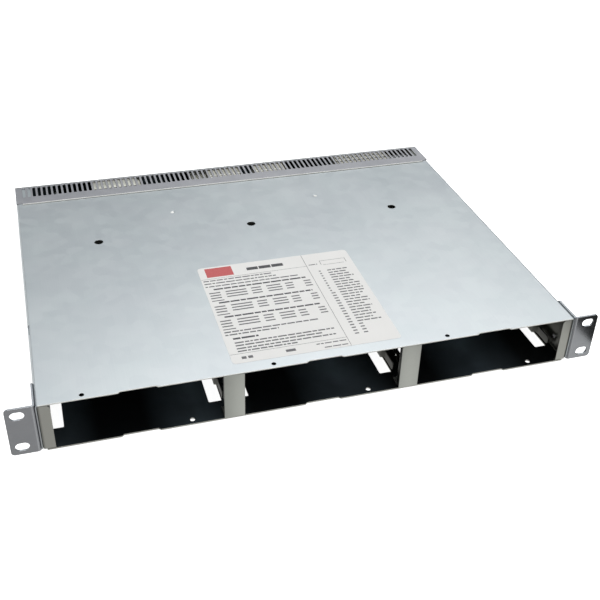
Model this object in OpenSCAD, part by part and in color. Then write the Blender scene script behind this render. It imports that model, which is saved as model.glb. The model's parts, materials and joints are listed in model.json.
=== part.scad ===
// Rack power shelf, 1U high, for three plug-in power modules side by side.
// X runs to the right as seen from the front, Y runs to the back, Z runs up.
// The origin is at the bottom centre of the box round the whole shelf.

/* [Modules and bays] */
// Width of one plug-in module
module_w = 127; // [110:0.5:130]
// Height of one plug-in module
module_h = 41; // [40:0.1:60]
// Free space on each side of a module
side_clear = 1.5; // [1:0.1:3]
// Free space above a module
top_clear = 0.15; // [0.1:0.05:2]
// Depth of a bay from the front edge to the module connectors
bay_d = 288; // [260:1:340]
// Width of a divider post between two bays
divider_w = 15.4; // [12:0.1:20]
// Distance from an outer bay to the tray's outer side
end_w = 8.1; // [7:0.1:16]

/* [Rear compartment] */
// Depth from the connector faces to the rear panel's outer face
rear_d = 62.8; // [60:0.2:90]
// Height of the connection board's top face over the floor's underside
board_top = 24; // [22:0.1:24.2]
// Thickness of the connection board
board_t = 1.6; // [1.2:0.1:2.4]

/* [Sheet metal] */
// Thickness of the tray's sheet
tray_t = 1; // [0.8:0.1:1.2]
// Thickness of the cover's sheet
cover_t = 1; // [0.8:0.1:1.2]
// Thickness of the rear panel's sheet
panel_t = 1; // [0.8:0.1:1.2]
// Inner radius of every fold
fold_r = 1; // [0.8:0.1:1.2]
// Depth of the cover's side flanges
cover_drop = 41.4; // [38:0.1:42]
// Width of the tray's front end flanges
end_flange_w = 9.4; // [8:0.1:9.6]
// Width of the tray's rear flanges
rear_flange_w = 12; // [10:0.5:14]
// Height of the lip at the rear edge of the floor
rear_lip_h = 9; // [8:0.5:10]

/* [Vent strip] */
// Depth of the strip from its front edge to the rear panel's outer face
strip_d = 38.2; // [34:0.1:48]
// Distance from one slot to the next
vent_pitch = 5.03; // [4.4:0.01:8]
// Width of a slot
vent_w = 3; // [2:0.1:3.4]
// Length of a slot
vent_l = 20; // [12:0.5:22]
// Distance from the slots' rear ends to the rear panel's outer face
vent_edge = 4.5; // [4:0.1:8]
// Height of a slot in the rear panel
rear_vent_h = 8; // [4:0.5:9]
// Depth of the notch at each front corner of the strip
strip_notch_d = 2; // [1:0.1:4]
// Width of the notch at each front corner of the strip
strip_notch_w = 6.1; // [4:0.1:8]
// Distance from the outermost slots' middles to the tray's outer side
vent_margin = 7; // [6:0.5:20]
// How far the cover reaches under the strip
cover_lap = 8; // [6:0.5:9]
// Width of the cover's left arm under the strip
left_arm_w = 15.5; // [10:0.5:20]
// Width of the cover's right arm under the strip
right_arm_w = 6.3; // [5:0.1:12]

/* [Cover and floor openings] */
// Width of a finger notch in the front edges
notch_w = 30; // [20:1:40]
// Depth of a finger notch
notch_d = 1.6; // [1:0.1:3]
// Diameter of the locking hole at the front of the cover
lock_hole = 3.2; // [2.5:0.1:4]
// Offset of that hole to the left of its bay's middle
lock_x = 40.5; // [30:0.5:50]
// Distance of that hole from the front edge
lock_y = 4.4; // [4:0.1:8]
// Diameter of the catch hole at the front of the floor
catch_hole = 4; // [3:0.1:5]
// Offset of that hole to the right of its bay's middle
catch_x = 40; // [30:0.5:50]
// Distance of that hole from the front edge
catch_y = 5; // [5:0.1:8]
// Diameter of the large hole in the cover
key_hole = 8; // [5:0.5:12]
// Offset of that hole to the left of its bay's middle
key_x = 4; // [0:0.5:20]
// Distance of that hole from the front edge
key_y = 222; // [190:1:240]
// Depth of the notch in the cover's left edge
edge_notch_d = 1.2; // [0.6:0.1:1.5]
// Length of that notch
edge_notch_l = 14; // [8:0.5:20]
// Distance of its middle from the front edge
edge_notch_y = 96; // [80:1:120]

/* [Guide tabs] */
// Width of the window that a guide tab is cut from
window_w = 8.6; // [8:0.1:12]
// Distance of the front windows from the front edge
window_y = 21.7; // [20:0.1:30]
// Length of a window
window_l = 70; // [50:1:90]
// Distance of the rear windows from the connector faces
rear_window_gap = 20; // [15:1:30]
// Width of the bend relief beside a window's ends
relief_w = 1.7; // [1.2:0.1:2]
// Length of that bend relief
relief_l = 21.7; // [16:0.1:24]
// Top edge of a guide tab over the floor's underside
tab_h = 10; // [8:0.1:14]
// How far a guide tab's front end is set outwards
tab_set = 2; // [0.5:0.1:3]
// Length of the slope that leads out to that end
tab_slope_l = 5.5; // [3:0.1:10]

/* [Posts and guides] */
// Depth of a post's side returns
post_return = 5; // [4:0.1:8]
// Length of a post's feet
post_foot = 14; // [10:0.5:18]
// Cut at the corners of posts and end flanges
corner_cut = 2; // [1:0.1:2.4]
// Height of the guide channels under the cover
guide_h = 5; // [4:0.1:8]
// Distance of the guide channels from the front edge
guide_y = 24; // [20:1:40]
// Distance from the guide channels to the connector faces
guide_gap = 8; // [6:1:30]

/* [Rack ears] */
// How far an ear reaches out past the cover's side
ear_reach = 21.8; // [21:0.1:30]
// Height of an ear
ear_h = 43.2; // [40:0.1:44]
// Height of an ear's lower edge over the floor's underside
ear_z = 0.8; // [0.2:0.1:1]
// Thickness of an ear's sheet
ear_t = 1.5; // [1.2:0.1:2.5]
// Reach of an ear's front face in front of the cover's edge
ear_proud = 0.6; // [0:0.1:2]
// Length of an ear's side flange behind its front face
ear_flange = 29; // [26:0.5:50]
// Radius of an ear's outer corners
ear_corner = 3; // [1:0.1:5]
// Distance from an ear's outer edge to the middle of its slots
ear_slot_in = 8.75; // [7:0.05:11]
// Distance between the two slots of an ear
ear_pitch = 29.3; // [26:0.1:31.8]
// Length of an ear slot
ear_slot_l = 10.6; // [8:0.1:12]
// Height of an ear slot
ear_slot_h = 7.4; // [6:0.1:7.8]

/* [Output bars] */
// Width of an output bar
bar_w = 29; // [20:0.5:31]
// Thickness of an output bar
bar_t = 5; // [3:0.5:6]
// Underside of the bars over the connection board
bar_lift = 8; // [6:0.5:9]
// Length of a bar inside the rear panel
bar_inner = 36; // [34:0.5:40]
// Length of a bar outside the rear panel
bar_reach = 20; // [18:0.5:40]
// Diameter of the bolt hole in a bar
bar_hole = 8.5; // [6:0.1:10.5]
// Place of the negative bar
negative_x = -4; // [-6:0.5:-2]
// Place of the positive bar
positive_x = 45; // [38:0.5:50]

/* [Supply terminals] */
// Number of poles of the terminal block
poles = 7; // [3:1:7]
// Distance from one pole to the next
pole_pitch = 8.8; // [8:0.1:9]
// Thickness of the walls between the poles
barrier_t = 1.4; // [1:0.1:1.6]
// Height of the block over the board
terminal_h = 17.5; // [16:0.1:17.8]

/* [Signal sockets] */
// Place of the 25-way socket's middle
signal_x = -116.5; // [-125:0.5:-105]
// Width of the socket's shield
signal_w = 48.4; // [46:0.1:50]
// Place of the data jack's middle
jack_x = -31.5; // [-33:0.5:-30]
// Width of the data jack
jack_w = 16; // [15:0.1:17]
// Place of the earth stud
earth_x = -180; // [-190:1:-160]

/* [Hidden] */
$fn = 48;

// Widths worked out from the modules
bay_w = module_w + 2 * side_clear;
bay_pitch = bay_w + divider_w;
bay_places = [-bay_pitch, 0, bay_pitch];
tray_w = 3 * bay_w + 2 * divider_w + 2 * end_w;
cover_w = tray_w + 2 * cover_t;

// Widths over both ears, and from the slots of one ear to those of the other: 482.6 and 465.1
// as modelled, which a 19 inch rack asks for
panel_w = cover_w + 2 * ear_reach;
ear_span = panel_w - 2 * ear_slot_in;

// Heights worked out from the modules
liner_t = 0.25;
bay_floor = tray_t + liner_t;
tray_h = bay_floor + module_h + top_clear;
cover_top = tray_h + cover_t;
body_h = cover_top + panel_t;

// Depths, counted from the cover's front edge
body_d = bay_d + rear_d;
wall_in = body_d - panel_t;
strip_y = body_d - strip_d;
overall_d = ear_proud + body_d + bar_reach;

// Outer radii of the folds
tray_r = fold_r + tray_t;
cover_r = fold_r + cover_t;
panel_r = fold_r + panel_t;

// Clearances: round loose pieces, in threads, and between neighbouring folds
slip = 0.3;
thread_gap = 0.05;
fold_gap = 0.5;
// A hair past a face, so that cuts pass right through
over = 1;

// Tray: front corners of the floor, lip and guide tabs
floor_corner = 3;
lip_gap = 2;
window_corner = 1;
tab_overhang = 1.2;
nose_r = 3;

// Rear panel and its film
panel_bottom = 0.5;
rear_vent_gap = 2.5;
rear_vent_margin = 11;
film_t = 0.25;
film_gap = 1;
film_z = board_top + film_gap;

// Rear corners of an ear's side flange
ear_flange_r = 3;

// Screws: radii, heads and places
head_taper = 0.8;
m3_r = 1.5;
m3_head_r = 2.75;
m3_head_h = 2;
m4_r = 2;
m5_r = 2.5;
m5_head_r = 4.2;
m5_head_h = 3.2;
clear_hole_r = 1.7;
cover_screw_drop = 7;
cover_screw_z = tray_h - cover_screw_drop;
cover_screw_first = 60;
cover_screw_pitch = 110;
cover_screw_y = [for (i = [0 : 2]) cover_screw_first + i * cover_screw_pitch];
cover_head_r = 2.6;
ear_screw_low = 13;
ear_screw_pitch = 19;
ear_screw_z = [ear_screw_low, ear_screw_low + ear_screw_pitch];
ear_screw_y = 18;
ear_head_r = 3.4;
panel_screw_x = tray_w / 2 - rear_flange_w / 2;
panel_screw_low = 12;
panel_screw_pitch = 20;
panel_screw_z = [panel_screw_low, panel_screw_low + panel_screw_pitch];
lip_screw_pitch = 120;
lip_screw_x = [-lip_screw_pitch, 0, lip_screw_pitch];
lip_screw_z = 5.5;

// Module connectors
socket_w = 96;
socket_d = 16;
socket_h = 14;
socket_corner = 1.5;
socket_step = 1;
pocket_h = 8;
pocket_d = 10;
power_pocket_w = 22;
power_pocket_first = -34;
power_pocket_step = 26;
power_pocket_x = [power_pocket_first, power_pocket_first + power_pocket_step];
signal_pocket_w = 16;
signal_pocket_x = 14.5;
line_pocket_w = 5.5;
line_pocket_first = 28;
line_pocket_step = 7;
line_pocket_x = [for (i = [0 : 2]) line_pocket_first + i * line_pocket_step];
blade_t = 1;
blade_h = 6;
blade_recess = 1.5;
blades_per_pocket = 5;
signal_pin = 0.64;
signal_columns = 6;
signal_rows = 4;
signal_step_x = 2.4;
signal_step_z = 1.8;

// Connection board
board_set = 5;
board_y = bay_d + board_set;
board_rear_gap = 4.8;
board_d = wall_in - board_rear_gap - board_y;
board_hole_side = 5;
board_hole_front_in = 7;
board_hole_rear_in = 13.8;
board_screw_gap = 1.85;
outer_hole_x = bay_pitch + socket_w / 2 + board_screw_gap + m3_head_r;
board_hole_x = [-outer_hole_x, -bay_pitch / 2, bay_pitch / 2, outer_hole_x];
board_w = 2 * (outer_hole_x + board_hole_side);
board_hole_front = board_y + board_hole_front_in;
board_hole_rear = wall_in - board_hole_rear_in;
board_corner = 1.5;
standoff_r = 3;
spigot_r = 2.1;
standoff_thread = 8;
board_screw_l = 7;

// Output bars
bar_z = board_top + bar_lift;
bar_corner = 3;
bar_hole_end = 9.5;
bar_hole_floor = 0.5;
bar_foot_w = 20;
bar_foot_d = 22;
bar_foot_set = 2;
bar_foot_y = wall_in - bar_inner + bar_foot_set;
bar_screw_in = 5.5;
bar_screw_y = [bar_foot_y + bar_screw_in, bar_foot_y + bar_foot_d - bar_screw_in];
collar_wall = 0.7;
collar_flange = 3;
collar_flange_t = 1.5;
collar_inner = 1.3;
collar_corner = 1.5;

// Terminal block
terminal_w = poles * pole_pitch + barrier_t;
terminal_inner = 21;
terminal_front = wall_in - terminal_inner;
terminal_proud = 2.2;
terminal_face = body_d + terminal_proud;
barrier_reach = 7;
barrier_r = 2;
terminal_thread = 6;
terminal_screw_l = 5;
terminal_groove_w = 4.6;
terminal_groove_d = 3;
terminal_groove_in = 15;
terminal_groove_step = 10;
terminal_screw_lift = 7.5;
terminal_screw_z = board_top + terminal_screw_lift;
clamp_gap = 0.5;
clamp_w = pole_pitch - barrier_t - 2 * clamp_gap;
clamp_h = 8;
clamp_t = 0.8;
terminal_head_r = 2.9;
terminal_head_h = 2.2;
bracket_gap = 1.2;
bracket_w = 22;
bracket_hole_side = 7.7;
bracket_x = outer_hole_x + bracket_hole_side - bracket_w;
terminal_x = bracket_x - bracket_gap - terminal_w / 2;
bracket_t = 1;
bracket_h = 15;
bracket_top = board_top + bracket_h;
bracket_flange = 4;
bracket_foot = 13;
bracket_in = 7.3;
bracket_y = wall_in - bracket_in;

// Signal socket
signal_lift = 6.5;
signal_z = board_top + signal_lift;
signal_flange_w = 53;
signal_flange_h = 12.5;
signal_flange_t = 0.8;
signal_shield_d = 20;
signal_shield_h = 17.5;
signal_shell_w = 38.4;
signal_shell_h = 7.8;
signal_shell_t = 0.5;
signal_shell_reach = 5;
signal_insert_recess = 0.4;
signal_flange_r = 1;
signal_shell_r = 2.2;
signal_slant = 10;
signal_hole_r = 0.6;
signal_hole_pitch = 2.76;
signal_row_gap = 2.84;
jack_screw_span = 47.04;
jack_hex = 5;
jack_screw_l = 5;
jack_thread_r = 1.1;
jack_shank_r = 1.4;
jack_shank_l = 3;
jack_pocket_d = 4;
jack_thread_end = 0.5;

// Data jack
data_d = 18;
data_h = 16;
data_proud = 0.4;
data_cavity_w = 11.8;
data_cavity_h = 8.4;
data_cavity_d = 13;
data_cavity_z = 2.2;
data_key_w = 5;
data_key_h = 1.6;
data_contacts = 8;
data_back_t = 2;
data_comb_l = 7;
data_comb_h = 2;

// Earth stud
earth_lift = 7;
earth_z = board_top + earth_lift;
earth_r = 2;
// Where a nut grips it, a thread is drawn at the radius where the two threads meet
earth_pitch_r = 1.77;
earth_l = 11;
earth_head_r = 3.2;
earth_head_t = 1;
washer_r = 4.5;
washer_t = 1;
nut_hex = 7;
nut_h = 3.2;
nut_end = body_d + washer_t + nut_h;

// Weld marks of the guide channels
weld_r = 1.8;
weld_depth = 0.15;
weld_back = 25;

// Colours
zinc = [0.72, 0.75, 0.78];
plated = [0.62, 0.61, 0.65];
nickel = [0.55, 0.56, 0.58];
tin = [0.86, 0.85, 0.8];
black_film = [0.07, 0.08, 0.09];
black_plastic = [0.13, 0.13, 0.14];
board_green = [0.1, 0.32, 0.2];
cream = [0.82, 0.82, 0.78];

// ---------------------------------------------------------------------------
// Helpers

// Puts what is counted from the cover's front edge into the shelf's own frame.
module from_front() {
    translate([0, ear_proud - overall_d / 2, 0]) children();
}

// A piece and its mirror image on the other side.
module both_sides() {
    children();
    mirror([1, 0, 0]) children();
}

// Rectangle with rounded corners, centred.
module rounded_rect(w, h, r) {
    square([w - 2 * r, h], center = true);
    square([w, h - 2 * r], center = true);
    for (x = [-1, 1], y = [-1, 1])
        translate([x * (w / 2 - r), y * (h / 2 - r)]) circle(r);
}

// Rounded ring of sheet metal, outer size w by h, centred.
module sheet_ring(w, h, r, t) {
    difference() {
        rounded_rect(w, h, r);
        rounded_rect(w - 2 * t, h - 2 * t, r - t);
    }
}

// Slot with round ends along Y, centred.
module slot_shape(w, l) {
    square([w, l - w], center = true);
    for (y = [-1, 1]) translate([0, y * (l - w) / 2]) circle(w / 2, $fn = 24);
}

// Stands an XY outline up, so that its Y becomes Z, and gives it a depth along Y from y0 to y1.
module upright(y0, y1) {
    translate([0, y1, 0]) rotate([90, 0, 0]) linear_extrude(y1 - y0) children();
}

// Gives an outline drawn in (Y, Z) a width along X from x0 to x1.
module crosswise(x0, x1) {
    translate([x0, 0, 0]) rotate([90, 0, 90]) linear_extrude(x1 - x0) children();
}

// Flat outline in XY with a thickness from z0 to z1.
module flat(z0, z1) {
    translate([0, 0, z0]) linear_extrude(z1 - z0) children();
}

// Round bar along Y.
module rod_y(r, y0, y1) {
    translate([0, y0, 0]) rotate([-90, 0, 0]) cylinder(r = r, h = y1 - y0);
}

// Round bar along X.
module rod_x(r, x0, x1) {
    translate([x0, 0, 0]) rotate([0, 90, 0]) cylinder(r = r, h = x1 - x0);
}

// Shallow notch with sloping ends in a front edge.
module finger_notch() {
    polygon([[-notch_w / 2, -over], [-notch_w / 2, 0], [-notch_w / 2 + notch_d, notch_d],
             [notch_w / 2 - notch_d, notch_d], [notch_w / 2, 0], [notch_w / 2, -over]]);
}

// Countersunk hole along Z through a sheet that lies on the XY plane.
module sunk_hole(r, head_r, t) {
    translate([0, 0, -over]) cylinder(r = r, h = t + 2 * over);
    cylinder(r1 = r, r2 = head_r, h = t + thread_gap);
}

// Row of slots across the shelf, as many as fit between two limits.
module vent_row(half_width) {
    n = floor(half_width / vent_pitch);
    for (i = [-n : n]) translate([i * vent_pitch, 0]) children();
}

// Outline of the 25-way socket's shell: a rounded trapezium, wide side up.
module socket_outline(grow) {
    w = signal_shell_w / 2 + grow;
    h = signal_shell_h / 2 + grow;
    r = signal_shell_r + grow;
    lean = tan(signal_slant);
    x_top = w - r;
    x_low = w - r - 2 * (h - r) * lean;
    side = [r * cos(signal_slant), -r * sin(signal_slant)];
    polygon([[-x_low, -h], [x_low, -h], [x_low, r - h] + side, [x_top, h - r] + side,
             [x_top, h], [-x_top, h], [-x_top - side[0], h - r + side[1]],
             [-x_low - side[0], r - h + side[1]]]);
    for (s = [-1, 1]) {
        translate([s * x_top, h - r]) circle(r);
        translate([s * x_low, r - h]) circle(r);
    }
}

// ---------------------------------------------------------------------------
// Tray

// Section of the tray: floor, side walls and the lips that carry the cover.
module tray_section() {
    translate([0, tray_h / 2]) difference() {
        sheet_ring(tray_w, tray_h, tray_r, tray_t);
        translate([0, tray_h / 2]) square([tray_w - 2 * end_w, 4 * tray_t], center = true);
    }
}

// Plan of the side walls with their flanges at the front and the rear.
module wall_plan() {
    translate([0, wall_in / 2]) sheet_ring(tray_w, wall_in, tray_r, tray_t);
}

// Front end flange on the right: folded inwards, with its inner upper corner cut.
module end_flange() {
    low = tray_t + fold_gap;
    high = tray_h - fold_gap;
    inner = tray_w / 2 - end_flange_w;
    intersection() {
        flat(low, high) intersection() {
            wall_plan();
            translate([inner, 0]) square([end_flange_w, tray_r]);
        }
        upright(-over, tray_r + over) polygon([[inner, low], [tray_w / 2, low],
            [tray_w / 2, high], [inner + corner_cut, high], [inner, high - corner_cut]]);
    }
}

// Rear flange on the right, which the rear panel is screwed to.
module rear_flange() {
    flat(tray_t + fold_gap, tray_h - fold_gap) intersection() {
        wall_plan();
        translate([tray_w / 2 - rear_flange_w, wall_in - tray_r]) square([rear_flange_w, tray_r]);
    }
}

// Lip folded up at the rear edge of the floor.
module rear_lip() {
    side = tray_w / 2 - rear_flange_w - lip_gap;
    crosswise(-side, side) intersection() {
        translate([wall_in - rear_lip_h, rear_lip_h])
            sheet_ring(2 * rear_lip_h, 2 * rear_lip_h, tray_r, tray_t);
        translate([wall_in - tray_r, 0]) square([tray_r, rear_lip_h]);
    }
}

// Window on the right of a bay, with its bend reliefs, starting at y.
module tab_window(y) {
    translate([bay_w / 2 - window_w / 2, y + window_l / 2])
        rounded_rect(window_w, window_l, window_corner);
    for (end = [y + relief_l / 2, y + window_l - relief_l / 2])
        translate([bay_w / 2 - window_w / 2 + relief_w / 2, end])
            rounded_rect(window_w + relief_w, relief_l, window_corner);
}

// Guide tab on the right of a bay: a strip of the floor bent up, with round ends over the reliefs
// and its front end set outwards, to lead the module in.
module guide_tab(y) {
    free = relief_w;
    l = window_l + 2 * tab_overhang;
    h = tab_h - tray_t - free;
    front = y - tab_overhang;
    root = y + relief_l;
    translate([bay_w / 2, 0, 0]) intersection() {
        flat(tray_t, tab_h) polygon([[0, front + l], [0, root], [tab_set, root - tab_slope_l],
            [tab_set, front], [tab_set + tray_t, front], [tab_set + tray_t, root - tab_slope_l],
            [tray_t, root], [tray_t, front + l]]);
        crosswise(-over, tab_set + tray_t + over) {
            translate([front + l / 2, tray_t + free + h / 2]) rounded_rect(l, h, nose_r);
            translate([root, tray_t]) square([window_l - 2 * relief_l, 2 * free]);
        }
    }
}

// Front and rear guide positions in every bay, on both sides of it.
module guide_places() {
    for (x = bay_places) translate([x, 0, 0]) both_sides() children();
}

window_starts = [window_y, bay_d - rear_window_gap - window_l];

module chassis_tray() color(zinc) from_front() {
    difference() {
        union() {
            upright(tray_r, wall_in - tray_r) tray_section();
            flat(0, tray_t) {
                translate([-tray_w / 2 + floor_corner, 0])
                    square([tray_w - 2 * floor_corner, 2 * tray_r]);
                translate([-tray_w / 2 + rear_flange_w + lip_gap, wall_in - 2 * tray_r])
                    square([tray_w - 2 * rear_flange_w - 2 * lip_gap, tray_r]);
            }
            both_sides() end_flange();
            both_sides() rear_flange();
            rear_lip();
        }
        flat(-over, 2 * tray_t) for (x = bay_places) translate([x, 0]) {
            finger_notch();
            translate([catch_x, catch_y]) circle(catch_hole / 2);
            for (y = window_starts) both_sides() tab_window(y);
        }
        flat(-over, 2 * tray_t) for (x = board_hole_x, y = [board_hole_front, board_hole_rear])
            translate([x, y]) circle(spigot_r + thread_gap);
        for (s = [-1, 1]) {
            for (y = cover_screw_y) translate([0, y, cover_screw_z])
                rod_x(m3_r + thread_gap, s * tray_w / 2 - 2 * tray_t, s * tray_w / 2 + 2 * tray_t);
            for (z = ear_screw_z) translate([0, ear_screw_y, z])
                rod_x(m4_r + thread_gap, s * tray_w / 2 - 2 * tray_t, s * tray_w / 2 + 2 * tray_t);
            for (z = panel_screw_z) translate([s * panel_screw_x, 0, z])
                rod_y(m3_r + thread_gap, wall_in - 2 * tray_t, wall_in + over);
        }
        for (x = lip_screw_x) translate([x, 0, lip_screw_z])
            rod_y(m3_r + thread_gap, wall_in - 2 * tray_t, wall_in + over);
    }
}

// The upright strips beside the windows, which the modules run between.
module guide_tabs() color(zinc) from_front()
    guide_places() for (y = window_starts) guide_tab(y);

// ---------------------------------------------------------------------------
// Cover

// Section of the cover: a flat sheet with both sides folded down outside the tray.
module cover_section() {
    difference() {
        translate([0, cover_top - cover_w / 2]) sheet_ring(cover_w, cover_w, cover_r, cover_t);
        translate([-cover_w, cover_top - cover_drop - 2 * cover_w])
            square([2 * cover_w, 2 * cover_w]);
    }
}

module top_cover() color(zinc) from_front() {
    arm_end = wall_in - fold_r - slip;
    difference() {
        upright(0, arm_end) cover_section();
        flat(tray_h - over, cover_top + over) {
            for (x = bay_places) translate([x, 0]) {
                finger_notch();
                translate([-lock_x, lock_y]) circle(lock_hole / 2);
                translate([-key_x, key_y]) circle(key_hole / 2);
            }
            translate([-cover_w / 2 + left_arm_w, strip_y + cover_lap])
                square([cover_w - left_arm_w - right_arm_w, strip_d]);
            translate([-cover_w / 2 - over, edge_notch_y - edge_notch_l / 2])
                square([edge_notch_d + over, edge_notch_l]);
        }
        for (s = [-1, 1]) {
            for (y = cover_screw_y) translate([s * tray_w / 2, y, cover_screw_z])
                rotate([0, s * 90, 0]) sunk_hole(m3_r + slip, cover_head_r + slip, cover_t);
            for (z = ear_screw_z) translate([0, ear_screw_y, z])
                rod_x(m4_r + slip, s * cover_w / 2 - 2 * cover_t, s * cover_w / 2 + 2 * cover_t);
            translate([s * bay_pitch / 2, bay_d - weld_back, cover_top - weld_depth])
                cylinder(r = weld_r, h = over);
        }
    }
}

// ---------------------------------------------------------------------------
// Rear panel with its vent strip

// Section of the rear panel in (Y, Z): the wall and the strip folded forwards from its top.
module panel_section() {
    big = 2 * (strip_d + body_h);
    difference() {
        translate([body_d - big / 2, body_h - big / 2]) sheet_ring(big, big, panel_r, panel_t);
        translate([strip_y - big, -big]) square([big, 2 * big]);
        translate([strip_y - over, panel_bottom - big]) square([big, big]);
    }
}

// Window for a piece of the given size, with a clearance all round.
module window(x, z, w, h) {
    translate([x, z]) square([w + 2 * slip, h + 2 * slip], center = true);
}

// Windows for the pieces that reach through the rear panel, or through its film, which is cut wider.
module socket_windows(grow) {
    side = slip + collar_wall + grow;
    for (x = [negative_x, positive_x])
        window(x, bar_z + bar_t / 2, bar_w + 2 * side, bar_t + 2 * side);
    window(terminal_x, board_top + terminal_h / 2, terminal_w + 2 * grow, terminal_h + 2 * grow);
    window(jack_x, board_top + data_h / 2, jack_w + 2 * grow, data_h + 2 * grow);
}

module rear_panel() color(plated) from_front() {
    difference() {
        crosswise(-cover_w / 2, cover_w / 2) panel_section();
        flat(cover_top - over, body_h + over) {
            vent_row(tray_w / 2 - vent_margin) translate([0, body_d - vent_edge - vent_l / 2])
                slot_shape(vent_w, vent_l);
            both_sides() translate([cover_w / 2 - strip_notch_w, strip_y - over])
                square([strip_notch_w + over, strip_notch_d + over]);
        }
        upright(wall_in - over, body_d + over) {
            vent_row(tray_w / 2 - rear_flange_w - rear_vent_margin)
                translate([0, rear_lip_h + rear_vent_gap + rear_vent_h / 2])
                    slot_shape(vent_w, rear_vent_h);
            socket_windows(0);
            translate([signal_x, signal_z]) {
                socket_outline(slip);
                for (s = [-1, 1]) translate([s * jack_screw_span / 2, 0]) circle(jack_shank_r + slip);
            }
            translate([earth_x, earth_z]) circle(earth_r + thread_gap);
            for (s = [-1, 1], z = panel_screw_z) translate([s * panel_screw_x, z]) circle(clear_hole_r);
            for (x = lip_screw_x) translate([x, lip_screw_z]) circle(clear_hole_r);
        }
    }
}

// ---------------------------------------------------------------------------
// Posts and guide channels

// Divider post: folded face with side returns, cut corners, and a foot at each end.
module divider_post() {
    low = tray_t;
    high = tray_h;
    half = divider_w / 2;
    foot_w = divider_w - 2 * corner_cut - 2 * fold_gap;
    intersection() {
        flat(low + slip, high - slip) intersection() {
            translate([0, post_return]) sheet_ring(divider_w, 2 * post_return, tray_r, tray_t);
            translate([-half, 0]) square([divider_w, post_return]);
        }
        upright(-over, post_return + over) polygon([
            [-half + corner_cut, low], [half - corner_cut, low], [half, low + corner_cut],
            [half, high - corner_cut], [half - corner_cut, high], [-half + corner_cut, high],
            [-half, high - corner_cut], [-half, low + corner_cut]]);
    }
    crosswise(-foot_w / 2, foot_w / 2) {
        translate([0, low]) square([post_foot, tray_t]);
        translate([0, high - tray_t]) square([post_foot, tray_t]);
    }
}

module left_post() color(plated) from_front() translate([-bay_pitch / 2, 0, 0]) divider_post();
module right_post() color(plated) from_front() translate([bay_pitch / 2, 0, 0]) divider_post();

// Channel welded under the cover over a divider: it guides the modules' top edges.
module guide_channel() {
    end = bay_d - guide_gap;
    nose = guide_h - tray_t;
    intersection() {
        upright(guide_y, end) translate([0, tray_h - guide_h]) intersection() {
            sheet_ring(divider_w, 2 * guide_h, tray_r, tray_t);
            translate([-divider_w / 2, 0]) square([divider_w, guide_h]);
        }
        crosswise(-divider_w, divider_w) {
            translate([guide_y + nose, tray_h - guide_h]) square([end - guide_y - 2 * nose, guide_h]);
            translate([guide_y, tray_h - tray_t]) square([end - guide_y, tray_t]);
            for (y = [guide_y + nose, end - nose]) translate([y, tray_h - tray_t]) circle(nose);
        }
    }
}

module left_guide() color(zinc) from_front() translate([-bay_pitch / 2, 0, 0]) guide_channel();
module right_guide() color(zinc) from_front() translate([bay_pitch / 2, 0, 0]) guide_channel();

// ---------------------------------------------------------------------------
// Rack ears

// Plan of the right ear: front plate and side flange with a folded corner.
module ear_plan() {
    r = fold_r + ear_t;
    x0 = cover_w / 2;
    y0 = -ear_proud;
    intersection() {
        translate([x0 + panel_w / 2, y0 + panel_w / 2]) sheet_ring(panel_w, panel_w, r, ear_t);
        union() {
            translate([x0, y0]) square([ear_reach, r]);
            translate([x0, y0]) square([r, ear_flange]);
        }
    }
}

// Right ear.
module ear() {
    top = ear_z + ear_h;
    out = panel_w / 2;
    difference() {
        intersection() {
            flat(ear_z, top) ear_plan();
            upright(-ear_proud - over, ear_flange + over) {
                translate([out / 2, ear_z + ear_h / 2]) rounded_rect(out, ear_h, ear_corner);
            }
            crosswise(0, out) {
                translate([-ear_proud, ear_z + ear_h / 2])
                    rounded_rect(2 * ear_flange, ear_h, ear_flange_r);
            }
        }
        upright(-ear_proud - over, ear_t + over)
            for (s = [-1, 1]) translate([ear_span / 2, ear_z + ear_h / 2 + s * ear_pitch / 2])
                rotate(90) slot_shape(ear_slot_h, ear_slot_l);
        for (z = ear_screw_z) translate([cover_w / 2, ear_screw_y, z]) rotate([0, 90, 0])
            sunk_hole(m4_r + slip, ear_head_r + slip, ear_t);
    }
}

module left_ear() color(nickel) from_front() mirror([1, 0, 0]) ear();
module right_ear() color(nickel) from_front() ear();

// ---------------------------------------------------------------------------
// Screws of the sheet metal

// Countersunk screw along +X whose head ends flush with a sheet of thickness t.
module flush_screw(r, head_r, t, l) {
    rotate([0, 90, 0]) {
        cylinder(r1 = r, r2 = head_r, h = t);
        translate([0, 0, -l]) cylinder(r = r, h = l);
    }
}

// Pan-head screw along Z with its head above the XY plane.
module pan_screw(r, head_r, head_h, l) {
    cylinder(r1 = head_r, r2 = head_r * head_taper, h = head_h);
    translate([0, 0, -l]) cylinder(r = r, h = l);
}

module ear_screws() color(nickel) from_front() both_sides()
    for (z = ear_screw_z) translate([cover_w / 2, ear_screw_y, z])
        flush_screw(m4_r, ear_head_r, ear_t, cover_t + 3 * tray_t);

module cover_screws() color(nickel) from_front() both_sides()
    for (y = cover_screw_y) translate([tray_w / 2, y, cover_screw_z])
        flush_screw(m3_r, cover_head_r, cover_t, 3 * tray_t);

module rear_panel_screws() color(nickel) from_front() {
    for (s = [-1, 1], z = panel_screw_z) translate([s * panel_screw_x, body_d, z])
        rotate([-90, 0, 0]) pan_screw(m3_r, m3_head_r, m3_head_h, 4 * panel_t);
    for (x = lip_screw_x) translate([x, body_d, lip_screw_z])
        rotate([-90, 0, 0]) pan_screw(m3_r, m3_head_r, m3_head_h, 4 * panel_t);
}

// ---------------------------------------------------------------------------
// Films

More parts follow.
